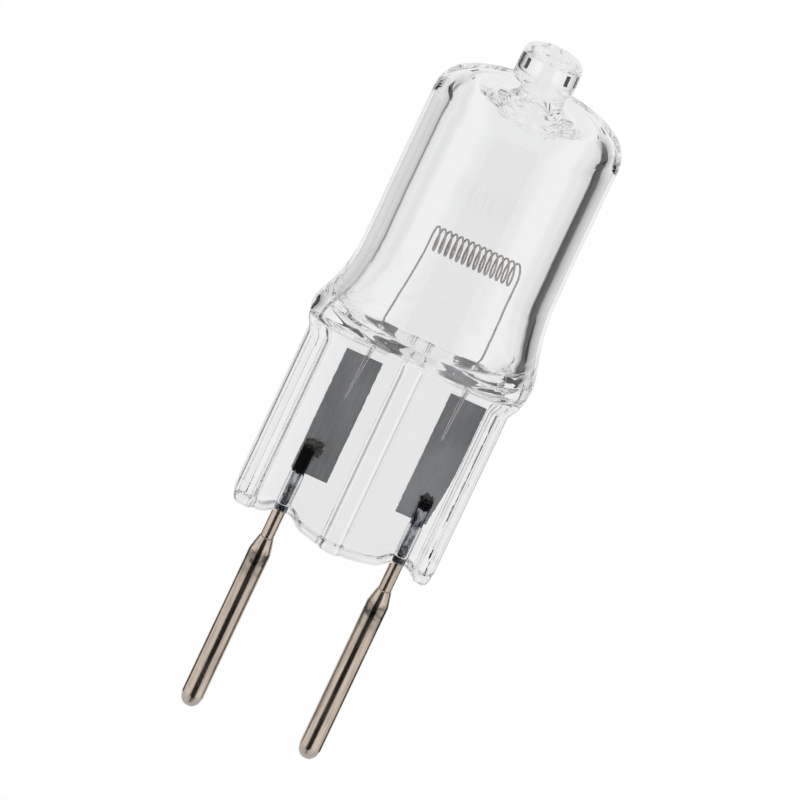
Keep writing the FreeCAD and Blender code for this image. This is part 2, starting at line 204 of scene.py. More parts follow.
def rounded_line(corners, spacing):
    """Points along a polyline of corners (r, z, radius), with an arc at each corner that has a radius."""
    spots = [np.array(corner[:2], float) for corner in corners]
    line = [spots[0]]
    for before, spot, after, (_, _, radius) in zip(spots, spots[1:], spots[2:], corners[1:]):
        line.extend(corner_arc(before, spot, after, radius, spacing) if radius else [spot])
    line = np.array(line + [spots[-1]])
    along = distances(line)
    keep = np.concatenate([[True], np.diff(along) > SAME_POINT])
    line, along = line[keep], along[keep]
    long_step = spacing * STRAIGHT_STEPS
    extra = [np.linspace(a, b, max(2, int((b - a) / long_step) + 1)) for a, b in zip(along, along[1:])]
    places = np.unique(np.concatenate(extra))
    return pairs(np.interp(places, along, line[:, 0]), np.interp(places, along, line[:, 1]))


def softened(line, blur, low, high):
    """The line averaged along itself over a window of that width, but only where r is above low to high."""
    along = distances(line)
    smooth = np.stack([eased(pairs(along, values), along, blur) for values in line.T], axis=-1)
    return line + (smooth - line) * (step(line[:, 0], low, high) * step(along, 0, blur))[:, None]


def turned(line, x, around):
    """The surface that a line of (r, z) points sweeps round the upright axis at x."""
    turn = np.linspace(0, 2 * math.pi, around, endpoint=False)
    r, z = line[:, 0][:, None], line[:, 1][:, None]
    return grid_of(x + r * np.cos(turn), r * np.sin(turn), z)


# %% [markdown]
# ## Sizes
#
# All sizes are in millimetres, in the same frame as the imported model: Z is up the lamp, X runs from pin to
# pin, and the camera's side is at -Y.

# %% Sizes that several pieces share
TIP_X = -0.435
BARREL_X = -0.225
PIN_X = 3.175
LEAD_R = 0.34
BARREL_R = 4.975
BORE_R = 4.0
FOIL_FACE = 0.31
GLASS_SPACING, METAL_SPACING = 0.05, 0.02
print("wall of the barrel: %.3f mm" % (BARREL_R - BORE_R))

# %% [markdown]
# The glass was pressed and blown a little off the pins' middle, and its shoulder flares wider than the
# barrel before it flattens into the seal. These tables follow the outline by height: half the width, half
# the depth, and where the middle lies across. Numbers given one by one suit a form that came from hot glass
# and a pair of jaws.

# %% Outline of the shoulder by height
SHOULDER_WIDTH = [(20.3, 5.33), (20.57, 5.34), (20.88, 5.50), (21.18, 5.68), (21.49, 5.78), (21.80, 5.80),
                  (22.11, 5.765), (22.42, 5.705), (22.73, 5.60), (23.04, 5.51), (23.35, 5.42), (23.66, 5.325),
                  (23.97, 5.24), (24.28, 5.175), (24.59, 5.13), (24.90, 5.08), (25.2, 5.05), (25.8, 5.01),
                  (26.4, 4.985), (27.4, BARREL_R), (40, BARREL_R)]
SHOULDER_DEPTH = [(20.2, 0.0), (20.6, 0.3), (20.95, 0.95), (21.2, 1.6), (21.5, 2.5), (21.95, 3.75),
                  (22.5, 4.45), (23.2, 4.81), (24.2, 4.935), (25.4, BARREL_R), (40, BARREL_R)]
GLASS_X = [(10, -0.35), (20.7, -0.36), (21.2, -0.345), (21.5, -0.32), (21.8, -0.28), (22.1, -0.23),
           (22.4, -0.18), (23.0, -0.12), (23.7, -0.10), (24.3, -0.12), (25.2, -0.14), (26.1, -0.19),
           (27.5, -0.21), (29, BARREL_X), (50, BARREL_X)]
WIDTH_BLUR, DEPTH_BLUR, MIDDLE_BLUR = 0.3, 0.5, 0.5
print("widest place: %.2f mm" % (2 * max(width for _, width in SHOULDER_WIDTH)))

# %% [markdown]
# ## The quartz, outside
#
# The outside goes from a round barrel to a flat seal, which no single turned or extruded shape can do. So
# each level has two outlines: the round one, which gets flatter towards the seal, and the pressed one with
# its ribs. The surface takes the larger depth of the two, with a fillet where they meet, as hot quartz does
# when jaws close on it.
#
# One quarter of the pressed outline comes first. Its points lie close together on the rounded edge and on
# the flanks of the ribs, and far apart on the plain panels.

# %% Outline of the pressed seal
PINCH_EDGE, PINCH_CORNER = 5.33, 0.5
PINCH_RIB, PINCH_WEB = 1.6, 1.25
EDGE_FLANK, MIDDLE_FLANK = (4.25, 4.48), (0.34, 0.6)


def rib_height(x):
    """Depth of the seal at x: thick ribs at both edges and in the middle, thinner panels between."""
    share = step(np.abs(x), *EDGE_FLANK) + 1 - step(np.abs(x), *MIDDLE_FLANK)
    return PINCH_WEB + (PINCH_RIB - PINCH_WEB) * share


side_y = np.linspace(0, PINCH_RIB - PINCH_CORNER, 5)
bend = np.radians(np.linspace(0, 90, 9))[1:]
edge_rib, edge_flank = np.linspace(4.84, 4.54, 4), np.linspace(4.50, 4.26, 9)
panel = np.linspace(4.15, 0.78, 26)
middle_flank, middle_rib = np.linspace(0.70, 0.40, 9), np.linspace(0.3, 0, 3)
face_x = np.concatenate([edge_rib, edge_flank, panel, middle_flank, middle_rib])
quarter_x = np.concatenate([PINCH_EDGE + 0 * side_y, PINCH_EDGE - PINCH_CORNER * (1 - np.cos(bend)), face_x])
quarter_y = np.concatenate([side_y, side_y[-1] + PINCH_CORNER * np.sin(bend), rib_height(face_x)])
side_count = len(side_y) + len(bend)
around_count = 4 * (len(quarter_x) - 1)
print("points round a level:", around_count)

# %% [markdown]
# On the seal, a point's turn round the axis follows from where the ribs need it. On the barrel the points
# spread evenly, because glass shades smoothly only where neighbouring faces are equally wide: uneven
# columns would draw thin false lines down its walls.

# %% Shoulder and barrel
corner_turn = math.acos(1 - PINCH_CORNER / PINCH_EDGE)
quarter_turn = np.arccos(quarter_x / PINCH_EDGE)
quarter_turn[:side_count] = np.linspace(0, corner_turn, side_count)
even_turn = np.linspace(0, math.pi / 2, len(quarter_x))

ROUNDING, FILLING, RELEASE, EVENING = (20.2, 21.9), (21.0, 22.6), (21.0, 22.4), (22.4, 24.5)
FLAT_POWER, ROUND_POWER = 3.6, 2.0
JAW_FILLET, FILLET_START = 0.3, (20.0, 20.6)
RIB_SHIFT, RIBS_END = 0.13, (20.6, 22.0)


def all_round(x, y, z):
    """A closed level from its quarter: the quarter, then its three mirror images."""
    sides = [(x, y, z), (-x[:, -2::-1], y[:, -2::-1], z[:, -2::-1]), (-x[:, 1:], -y[:, 1:], z[:, 1:]),
             (x[:, -2:0:-1], -y[:, -2:0:-1], z[:, -2:0:-1])]
    return [np.concatenate([part[i] for part in sides], axis=1) for i in range(3)]


def outer_levels(z):
    """Quarter outlines at those heights: half width times a cosine across, and the larger depth through."""
    z = np.asarray(z, float)[:, None]
    width, depth = eased(SHOULDER_WIDTH, z, WIDTH_BLUR), eased(SHOULDER_DEPTH, z, DEPTH_BLUR)
    roundness, pressed = step(z, *ROUNDING), 1 - step(z, *RELEASE)
    power = FLAT_POWER - (FLAT_POWER - ROUND_POWER) * step(z, *FILLING)
    turn = quarter_turn + (even_turn - quarter_turn) * step(z, *EVENING)
    across = (1 - roundness) * quarter_x / PINCH_EDGE + roundness * np.cos(turn)
    swell = np.clip(1 - np.cos(turn) ** power, 0, 1) ** (1 / power)
    fillet = JAW_FILLET * pressed * step(quarter_turn, 0, corner_turn) * step(z, *FILLET_START)
    return width * across, larger(depth * swell, quarter_y * pressed, fillet), z + 0 * across


def slid(x, z):
    """Across, with the middle of the glass at its place and the ribs of the seal a little off its middle."""
    ribs = RIB_SHIFT * np.clip(1 - (x / PINCH_EDGE) ** 4, 0, 1) * (1 - step(z, *RIBS_END))
    return x + ribs + eased(GLASS_X, z, MIDDLE_BLUR)


pressed_z = np.linspace(12.4, 19.9, 12)
flared_z = np.concatenate([np.linspace(20.0, 22.8, 57), np.linspace(22.9, 27.4, 30)])
barrel_z = np.linspace(28.2, 33.4, 6)
body = all_round(*outer_levels(np.concatenate([pressed_z, flared_z, barrel_z])))
print("levels of the body:", len(body[0]))

# %% [markdown]
# The jaws leave the seal's lower end free, and surface tension shapes it: the glass creeps up each lead,
# hangs down between them like a tongue, and its edge rolls over to a blunt lip. A straight cut with a bevel
# would look sawn, so the edge's height is a function of x, and the rows run down to it and then inward over
# the lip.

# %% Lower end of the seal
FOOT_TOP, FOOT_Z, FOOT_X = pressed_z[0], 10.9, 0.36
FOOT_CORNER, FOOT_LIP = 0.5, 0.32
CREEP, CREEP_REACH = 0.42, (0.2, 1.15)
TONGUE, TONGUE_HALF_WIDTH, TONGUE_POWER = 0.46, 2.6, 1.3
CORNER_COLUMNS = side_count + 3
LIP_POWER = 0.6


def foot_height(x):
    """Lower edge of the glass at x: drawn up where a lead leaves, hanging down between the leads."""
    x = x - FOOT_X
    lead = sum(CREEP * (1 - step(np.abs(x - side * PIN_X), *CREEP_REACH)) for side in (-1, 1))
    tongue = TONGUE * np.clip(1 - (x / TONGUE_HALF_WIDTH) ** 2, 0, 1) ** TONGUE_POWER
    return FOOT_Z + lead - tongue


corner_share = np.arange(len(quarter_x)) / CORNER_COLUMNS
in_corner = corner_share < 1
arc = np.clip(1 - corner_share, 0, 1) * math.pi / 2
low_x = np.where(in_corner, PINCH_EDGE - FOOT_CORNER * (1 - np.sin(arc)), quarter_x)
lift = np.where(in_corner, FOOT_CORNER * (1 - np.cos(arc)), 0)


def foot_levels(side):
    """The seal below its straight part, row by row down to its lip and then across to its middle."""
    down = np.linspace(0, 1, 16)[1:, None]
    inward = np.linspace(0, 1, 10)[1:, None] * math.pi / 2
    low_z = foot_height(side * low_x) + lift
    x_down = quarter_x + (low_x - quarter_x) * down ** 4
    z_down = FOOT_TOP + (low_z + FOOT_LIP - FOOT_TOP) * down
    y_in = quarter_y * np.cos(inward) ** LIP_POWER
    z_in = low_z + FOOT_LIP * (1 - np.sin(inward) ** LIP_POWER)
    return [np.concatenate([x_down, low_x + 0 * inward]), np.concatenate([quarter_y + 0 * down, y_in]),
            np.concatenate([z_down, z_in])]


whole, mirrored = all_round(*foot_levels(1)), all_round(*foot_levels(-1))
foot = [np.where(whole[0] < 0, left, right) for right, left in zip(whole, mirrored)]
print("levels of the foot:", len(foot[0]))

# %% [markdown]
# The barrel's top is drawn in to a neck where the gas was let out, and the stub above it was melted shut.
# The stub stands a little beside the barrel's middle. Its profile is turned like the dome's, and the axis
# slides over between neck and stub. The bend of the dome is averaged once more, since glass shows any
# sudden change of bend.

# %% Dome, neck and exhaust tip
NECK_R, TIP_R, AXIS_BLUR = 1.2, 1.58, 0.3
DOME_BLUR, DOME_FROM = 1.2, (1.9, 2.8)
top_line = rounded_line([(BARREL_R, 33.42, 0), (BARREL_R, 35.58, 1.3), (NECK_R, 35.63, 0.35),
                         (NECK_R, 36.3, 0.25), (TIP_R, 36.62, 0.35), (TIP_R - 0.02, 38.33, 0.5),
                         (0, 38.36, 0)], GLASS_SPACING)
top_line = softened(top_line, DOME_BLUR, *DOME_FROM)
ring_turn = np.linspace(0, 2 * math.pi, around_count, endpoint=False)
axis_table = [(36.25, 0.0), (36.55, TIP_X - BARREL_X), (50, TIP_X - BARREL_X)]
axis_x = eased(axis_table, top_line[:, 1], AXIS_BLUR)[:, None]
r, z = top_line[:, 0][:, None], top_line[:, 1][:, None]
top = [axis_x + r * np.cos(ring_turn), r * np.sin(ring_turn), z + 0 * ring_turn]
skin_x, skin_y, skin_z = [np.concatenate([f[::-1], b, t]) for f, b, t in zip(foot, body, top)]
outer_skin = grid_of(slid(skin_x, skin_z), skin_y, skin_z)
print("levels outside:", len(outer_skin))

# %% [markdown]
# ## The quartz, inside
#
# The cavity is a tube with a nearly flat ceiling and a trough for a floor, which the jaws left. A bead of
# glass hangs from the ceiling round the exhaust hole, which was melted shut inside the tip. A Solidify
# modifier would give the wall one thickness everywhere, but it is thinner at the ceiling and runs out into
# solid glass at the floor, so the inside has lines of its own: height, half width and half depth for the
# trough, and a turned profile above it.

# %% Cavity
TROUGH = [(21.38, 3.5, 0.0), (21.39, 3.8, 0.55), (21.48, 4.08, 1.05), (21.66, 4.32, 1.5), (21.90, 4.46, 2.0),
          (22.20, 4.55, 2.6), (22.6, 4.56, 3.15), (23.0, 4.50, 3.6), (23.5, 4.40, 3.83), (24.0, 4.29, 3.94),
          (24.6, 4.18, 3.99), (25.3, 4.08, BORE_R), (26.0, 4.02, BORE_R), (26.6, BORE_R, BORE_R)]
TROUGH_ROWS, TROUGH_BLUR, CAVITY_COLUMNS = 60, 0.35, 144
CEILING_BLUR, CEILING_FROM = 0.7, (1.9, 2.8)
trough = np.array(TROUGH)
along = distances(trough[:, [0, 2]])
fine = np.linspace(0, along[-1], TROUGH_ROWS)
height, half_width, half_depth = [eased(pairs(along, values), fine, TROUGH_BLUR)[:, None]
                                  for values in trough.T]
half_depth[0] = 0
turn = np.linspace(0, 2 * math.pi, CAVITY_COLUMNS, endpoint=False)
floor_skin = grid_of(half_width * np.cos(turn), half_depth * np.sin(turn), height)

bore_line = rounded_line([(BORE_R, 26.8, 0), (BORE_R, 35.05, 0.75), (2.1, 34.9, 0.8), (1.18, 34.22, 0.16),
                          (0.62, 35.4, 1.2), (0.30, 36.2, 0.25), (0, 36.3, 0)], GLASS_SPACING)
bore_line = softened(bore_line, CEILING_BLUR, *CEILING_FROM)
inner_skin = np.concatenate([floor_skin, turned(bore_line, 0, CAVITY_COLUMNS)])
inner_skin[..., 0] += eased(GLASS_X, inner_skin[..., 2], MIDDLE_BLUR)
print("levels inside:", len(inner_skin))

# %% [markdown]
# Where a wire passes through the seal the quartz doesn't wet it, so a hair-thin sleeve of gas stays round
# it. Light is turned back there, which is why the wires in the glass look silvery. A mirror finish on the
# wire could fake it, but not the glints at its edges, so each sleeve is a real closed gap of slightly
# uneven width.

# %% Gas sleeves round the leads
SLEEVE_GAP, SLEEVE_LOW, SLEEVE_HIGH, SLEEVE_SIDES = 0.05, 11.6, 13.42, 40


def lead_sleeve(side, seed):
    """A closed gap round a lead, which narrows to nothing over three gap widths at both ends."""
    z = np.linspace(SLEEVE_LOW, SLEEVE_HIGH, 60)
    ends = np.clip(np.minimum(z - SLEEVE_LOW, SLEEVE_HIGH - z) / (SLEEVE_GAP * 3), 0, 1) ** 0.5
    outer = LEAD_R + SLEEVE_GAP * ends * (1 + wander(z, 0.12, 0.5, seed))
    return turned(pairs(outer, z), side * PIN_X, SLEEVE_SIDES)


sleeves = [lead_sleeve(side, 3 + side) for side in (-1, 1)]
print("sleeves round the leads:", len(sleeves))

# %% [markdown]
# The filament's legs are far thinner than the leads. Each lies on its foil in a needle-shaped gap, which
# widens into a funnel just under the cavity. The legs are a little bent, and needle and leg follow the same
# table.

# %% Gas needles along the legs
NEEDLE_LOW, FUNNEL_TOP, NEEDLE_END = 17.82, 21.32, 0.12
NEEDLE_WIDTH = [(17.8, 0.06), (19.0, 0.09), (20.2, 0.12), (20.7, 0.15), (21.0, 0.2), (21.32, 0.12)]
NEEDLE_DEPTH, FUNNEL_DEPTH, FUNNEL_START = 0.085, 0.08, (20.2, 20.9)
FOIL_CLEARANCE, NEEDLE_SIDES = 0.006, 32
LEG_X = {-1: [(17.8, -2.63), (20.5, -2.49), (21.9, -2.51), (26.2, -2.14), (30, -2.14)],
         1: [(17.8, 2.54), (20.5, 2.61), (21.9, 2.63), (26.2, 2.54), (30, 2.54)]}


def needle(side, seed):
    """A gap of oval section about a leg: wide by a table, and only as deep as the foil leaves it room."""
    z = np.concatenate([np.linspace(NEEDLE_LOW, 20.1, 50), np.linspace(20.15, FUNNEL_TOP, 40)])
    ends = np.clip(np.minimum(z - z[0], z[-1] - z) / NEEDLE_END, 0, 1) ** 0.5
    wide = (eased(NEEDLE_WIDTH, z, 0.2) * (1 + wander(z, 0.10, 0.35, seed)) * ends)[:, None]
    deep = np.minimum(wide, NEEDLE_DEPTH + FUNNEL_DEPTH * step(z, *FUNNEL_START)[:, None])
    turn = np.linspace(0, 2 * math.pi, NEEDLE_SIDES, endpoint=False)
    x = eased(LEG_X[side], z, 0.4)[:, None] + wide * np.cos(turn)
    y = FOIL_FACE - FOIL_CLEARANCE - NEEDLE_DEPTH + deep * np.sin(turn)
    return grid_of(x, y, z[:, None])


sleeves += [needle(side, 8 + side) for side in (-1, 1)]
quartz = make_piece("quartz_body", [(outer_skin, True, False), (inner_skin, True, True)]
                    + [(gap, True, True) for gap in sleeves])
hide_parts("quartz_envelope")

# %% [markdown]
# ## Filament
#
# One wire: up the left leg, across the bulb in a coil and down the right leg. A curve object with a bevel
# would do, but it may twist where leg and coil meet. Here the tube is given a direction that never flips:
# outwards from the coil's axis, and steady along the legs. The coil's turns lean a little, as they do once
# the wire has been baked.

# %% Filament wire
WIRE_R, WIRE_SIDES = 0.052, 14
COIL_X, COIL_Z, COIL_R, COIL_LENGTH = 0.20, 27.23, 0.60, 4.68
HALF_TURNS, POINTS_A_HALF_TURN = 29, 20
COIL_LEAN, COIL_FALL = 0.17, 0.09
LEG_LOW, LEG_POINTS, LEG_SINK = 17.83, 260, 0.008


def leg_line(side):
    """A leg's middle line: straight up its foil, then over to the coil's skin at its end."""
    coil_y, leg_y = -side * COIL_R, FOIL_FACE + LEG_SINK - WIRE_R
    z = np.linspace(LEG_LOW, COIL_Z - side * COIL_FALL / 2, LEG_POINTS)
    y = eased([(0, leg_y), (21.6, leg_y), (26.2, coil_y), (50, coil_y)], z, 0.5)
    return np.stack([eased(LEG_X[side], z, 0.5), y, z], axis=-1)


def tube(path, toward, radius, around):
    """A wire: at each point a circle across the path, begun in the given direction, closed at its ends."""
    ahead = np.gradient(path, axis=0)
    ahead /= np.linalg.norm(ahead, axis=1)[:, None]
    side = toward - (toward * ahead).sum(1)[:, None] * ahead
    side /= np.linalg.norm(side, axis=1)[:, None]
    other = np.cross(ahead, side)
    turn = np.linspace(0, 2 * math.pi, around, endpoint=False)[:, None]
    skin = path[:, None] + (side[:, None] * np.cos(turn) + other[:, None] * np.sin(turn)) * radius
    ends = [np.repeat(path[i][None, None], around, axis=1) for i in (0, -1)]
    return np.concatenate([ends[0], skin, ends[1]])


turn = np.linspace(0, HALF_TURNS * math.pi, HALF_TURNS * POINTS_A_HALF_TURN + 1)
share = turn / turn[-1]
lean = COIL_LEAN * COIL_R * (1 - 2 * share - np.cos(turn))
coil = np.stack([COIL_X - COIL_LENGTH / 2 + COIL_LENGTH * share + lean, COIL_R * np.cos(turn),
                 COIL_Z + COIL_FALL * (0.5 - share) + COIL_R * np.sin(turn)], axis=-1)
outward = np.stack([0 * turn, np.cos(turn), np.sin(turn)], axis=-1)
left, right = leg_line(-1)[:-1], leg_line(1)[-2::-1]
path = np.concatenate([left, coil, right])
toward = np.concatenate([np.tile([0, 1, 0], (len(left), 1)), outward, np.tile([0, -1, 0], (len(right), 1))])
wire = make_piece("filament_wire", [(tube(path, toward, WIRE_R, WIRE_SIDES), True, False)])
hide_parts("filament")

# %% [markdown]
# ## Foils
#
# Each foil is a strip of molybdenum, etched so thin at its long edges that the quartz seals on it. A plain
# box would show sharp sides, so the strip thins out to nothing at its long edges, which wander by a hair.
# The right one is trimmed at a slant beside its weld.

# %% Foils
FOIL_W, FOIL_T, FOIL_FEATHER = 1.93, 0.03, 0.12
FOIL_Y = FOIL_FACE + FOIL_T / 2
FOIL_MIDDLE, FOIL_APART = 0.17, 2.78
foils = []


def foil(name, x, base, top, trim, seed):
    """A strip whose thickness falls to nothing at its long edges, less a slanted trim at the lower right."""
    across = np.sin(np.linspace(-1, 1, 41) * math.pi / 2)
    z = np.linspace(base, top, 120)
    edge = (FOIL_W / 2 + wander(z, 0.012, 0.3, seed))[:, None]
    z = z[:, None]
    thickness = FOIL_T / 2 * np.clip((1 - np.abs(across)) / FOIL_FEATHER, 0, 1)
    cut = trim * step(across, 0, 1) * (1 - step(z, base - 0.5, base + 4)) ** 1.5
    front, back = [grid_of(x + edge * across - cut, FOIL_Y + face * thickness, z) for face in (-1, 1)]
    ends = [(np.stack([front[i], back[i]]), False, i == 0) for i in (0, -1)]
    return make_piece(name, [(front, False, False), (back, False, True)] + ends)


for side, label, base, top, trim in ((-1, "left", 13.42, 20.26, 0.0), (1, "right", 13.56, 20.32, 0.3)):
    strip = foil("foil_strip_" + label, FOIL_MIDDLE + side * FOIL_APART, base, top, trim, 20 + side)
    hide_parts("foil_" + label)
    foils.append(strip)

# %% [markdown]
# ## Leads and contact pins
#
# A lead is a plain round wire, pressed flat where it is welded to its foil. A contact pin is a sleeve
# swaged on the lead: a straight body, a cone at its upper end and a rounded tip. Both are turned, because
# that is how they look from every side, and the flat is made by holding the lead's points back to the
# foil's face.

# %% Leads and pins
LEAD_LOW, LEAD_TOP, FLAT_LOW = 5.4, 14.75, 13.5
LEAD_SIDES, PIN_SIDES, SLEEVE_END = 72, 96, 9.6
PIN_R, PIN_TIP_R, CONE_LOW, CONE_TOP, COLLAR_R = 0.565, 0.30, 8.75, 9.55, 0.38
leads, pins = [], []


def lead_skin(side):
    """A turned wire whose upper end is cut back to the foil's face."""
    line = rounded_line([(0, LEAD_LOW, 0), (LEAD_R, LEAD_LOW, 0), (LEAD_R, LEAD_TOP, 0.05),
                         (0, LEAD_TOP, 0)], METAL_SPACING)
    skin = turned(line, side * PIN_X, LEAD_SIDES)
    pressed = np.minimum(skin[..., 1], FOIL_FACE)
    skin[..., 1] = np.where(skin[..., 2] > FLAT_LOW, pressed, skin[..., 1])
    return skin


def pin_skin(side):
    """A turned sleeve: rounded tip, straight body, cone, and a bore that holds the lead."""
    line = rounded_line([(0, 0, 0), (PIN_TIP_R, 0, 0.05), (0.47, 0.2, 0.3), (PIN_R, 0.58, 0.3),
                         (PIN_R, CONE_LOW, 0.4), (COLLAR_R, CONE_TOP, 0.02), (LEAD_R, SLEEVE_END, 0),
                         (LEAD_R, LEAD_LOW, 0), (0, LEAD_LOW, 0)], METAL_SPACING)
    return turned(line, side * PIN_X, PIN_SIDES)


for side, label in ((-1, "left"), (1, "right")):
    lead = make_piece("lead_" + label, [(lead_skin(side), True, False)])
    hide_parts("outer_lead_" + label)
    leads.append(lead)
    pin = make_piece("pin_" + label, [(pin_skin(side), True, False)])
    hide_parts("contact_pin_" + label)
    pins.append(pin)

# %% [markdown]
# ## Materials
#
# Every finish is made of noise in object space, so it needs no picture and looks right from all sides. Four
# effects are used more than once, so each is a node group: fine streaks along a wire or a sheet, a ragged
# band between two heights, a ragged spot round a point, and a faint relief. They hold no shader, only a
# mask or a normal.


# %% Tools for nodes
def put(tree, kind, inputs=(), **settings):
    """A new node; its inputs are given by name or number, as values or as sockets to link."""
    node = tree.nodes.new(kind)
    for key, value in settings.items():
        setattr(node, key, value)
    for key, value in dict(inputs).items():
        if isinstance(value, bpy.types.NodeSocket):
            tree.links.new(value, node.inputs[key])
        else:
            node.inputs[key].default_value = value
    return node


def ramp(tree, value, low, high, to_low=0.0, to_high=1.0):
    """A smooth change from one number to another while a value goes from low to high."""
    sizes = {"Value": value, "From Min": low, "From Max": high, "To Min": to_low, "To Max": to_high}
    return put(tree, "ShaderNodeMapRange", sizes, interpolation_type="SMOOTHSTEP").outputs["Result"]


def blend(tree, factor, first, second):
    """A colour between two colours."""
    first, second = [c if isinstance(c, bpy.types.NodeSocket) else (*c, 1) for c in (first, second)]
    return put(tree, "ShaderNodeMix", {0: factor, 6: first, 7: second}, data_type="RGBA").outputs[2]


def maths(tree, operation, first, second):
    """The result of one operation on two numbers or sockets."""
    return put(tree, "ShaderNodeMath", {0: first, 1: second}, operation=operation).outputs[0]


def new_group(name, inputs, output, kind="NodeSocketFloat"):
    """A node group with a vector and some numbers going in and one socket coming out."""
    tree = bpy.data.node_groups.new(name, "ShaderNodeTree")
    tree.interface.new_socket("Vector", in_out="INPUT", socket_type="NodeSocketVector")
    for label in inputs:
        tree.interface.new_socket(label, in_out="INPUT", socket_type="NodeSocketFloat")
    tree.interface.new_socket(output, in_out="OUTPUT", socket_type=kind)
    return tree, tree.nodes.new("NodeGroupInput").outputs, tree.nodes.new("NodeGroupOutput").inputs


# %% [markdown]
# Drawing and rolling leave lines that run one way. Noise gives them when its space is squeezed across the
# lamp and stretched along it.

# %% Shared effect: streaks
PER_MM = 1 / MM

streaks, given, made = new_group("drawn_streaks", ["Fineness", "Stretch"], "Mask")
lengthwise = maths(streaks, "DIVIDE", given["Fineness"], given["Stretch"])
finenesses = put(streaks, "ShaderNodeCombineXYZ", {0: given["Fineness"], 1: given["Fineness"], 2: lengthwise})
squeezed = put(streaks, "ShaderNodeVectorMath", {0: given["Vector"], 1: finenesses.outputs[0]},
               operation="MULTIPLY")
noise = put(streaks, "ShaderNodeTexNoise", {"Vector": squeezed.outputs[0], "Scale": PER_MM, "Detail": 4.0})
streaks.links.new(ramp(streaks, noise.outputs[0], 0.32, 0.68), made["Mask"])
print("made", streaks.name)

# %% [markdown]
# Tarnish, soot and the mark of a tool lie between two heights or round a point. Both effects start from a
# distance, and noise pushes it about before it is cut off, so that the edge looks like tarnish and not like
# paint.


# %% Shared effects: band and spot
def pushed(tree, distance, fineness, detail, amount, vector):
    """A distance in mm with noise of that fineness added, from minus half to plus half of the amount."""
    sizes = {"Vector": vector, "Scale": fineness * PER_MM, "Detail": detail}
    noise = put(tree, "ShaderNodeTexNoise", sizes).outputs[0]
    return maths(tree, "ADD", distance, maths(tree, "MULTIPLY", maths(tree, "SUBTRACT", noise, 0.5), amount))


band, given, made = new_group("ragged_band", ["Low", "High", "Soft", "Wander"], "Mask")
raised = put(band, "ShaderNodeSeparateXYZ", {0: given["Vector"]}).outputs["Z"]
height = pushed(band, maths(band, "MULTIPLY", raised, PER_MM), 3, 4.0, given["Wander"], given["Vector"])
above = ramp(band, height, given["Low"], maths(band, "ADD", given["Low"], given["Soft"]))
below = ramp(band, height, maths(band, "SUBTRACT", given["High"], given["Soft"]), given["High"], 1.0, 0.0)
band.links.new(maths(band, "MULTIPLY", above, below), made["Mask"])

spot, given, made = new_group("ragged_spot", ["X", "Z", "Radius", "Wander"], "Mask")
place = put(spot, "ShaderNodeSeparateXYZ", {0: given["Vector"]}).outputs
gaps = [maths(spot, "SUBTRACT", maths(spot, "MULTIPLY", place[axis], PER_MM), given[axis]) for axis in "XZ"]
squares = [maths(spot, "MULTIPLY", gap, gap) for gap in gaps]
far = maths(spot, "POWER", maths(spot, "ADD", *squares), 0.5)
far = pushed(spot, far, 5, 5.0, given["Wander"], given["Vector"])
spot.links.new(ramp(spot, far, maths(spot, "MULTIPLY", given["Radius"], 0.7), given["Radius"], 1.0, 0.0),
               made["Mask"])
print("made", band.name, "and", spot.name)

# %% [markdown]
# Nothing on the lamp is perfectly even. A relief of about a thousandth of a millimetre, as a bump, is
# enough to bend a reflection, and too little to show in the outline.

# %% Shared effect: relief
relief, given, made = new_group("faint_relief", ["Fineness", "Height"], "Normal", "NodeSocketVector")
scale = maths(relief, "MULTIPLY", given["Fineness"], PER_MM)
noise = put(relief, "ShaderNodeTexNoise", {"Vector": given["Vector"], "Detail": 2.0, "Scale": scale})
bump = put(relief, "ShaderNodeBump", {"Height": noise.outputs[0], "Distance": given["Height"]})
relief.links.new(bump.outputs[0], made["Normal"])


def effect(tree, group, place, **numbers):
    """The result of a shared effect at object coordinates."""
    return put(tree, "ShaderNodeGroup", {"Vector": place, **numbers}, node_tree=group).outputs[0]


def new_material(name, pieces, **plain):
    """A material for those pieces: its tree, its object coordinates and the inputs of its shader."""
    material = bpy.data.materials.new(name)
    material.use_nodes = True
    tree = material.node_tree
    shader = tree.nodes["Principled BSDF"]
    for label, value in plain.items():
        shader.inputs[label.replace("_", " ")].default_value = value
    for piece in pieces:
        piece.data.materials.append(material)
    return tree, put(tree, "ShaderNodeTexCoord").outputs["Object"], shader.inputs


print("node groups:", len(bpy.data.node_groups))

# %% [markdown]
# Quartz is as clear as water. What gives it away are its edges and a skin that is never quite even: long
# soft waves on the blown bulb, and a busier skin on the seal, which the jaws pressed. The seal is also a
# trace greyer.

# %% Quartz
CLEAR, SMOKY = (0.975, 0.977, 0.98), (0.955, 0.957, 0.965)
BLOWN_WAVES, PRESSED_WAVES = 0.5e-6, 1.5e-6
tree, place, into = new_material("clear_quartz", [quartz], Roughness=0.0, IOR=1.458, Transmission_Weight=1.0)
seal = effect(tree, band, place, Low=9.0, High=21.3, Soft=0.6, Wander=0.4)
cloud = effect(tree, streaks, place, Fineness=0.9, Stretch=1.6)
tree.links.new(blend(tree, maths(tree, "MULTIPLY", seal, cloud), CLEAR, SMOKY), into["Base Color"])
uneven = ramp(tree, seal, 0.0, 1.0, BLOWN_WAVES, PRESSED_WAVES)
tree.links.new(effect(tree, relief, place, Fineness=1.1, Height=uneven), into["Normal"])
print("quartz: index 1.458")

# %% [markdown]
# Tungsten wire is drawn, wound and baked, so it is a warm matt grey with a fine grain.

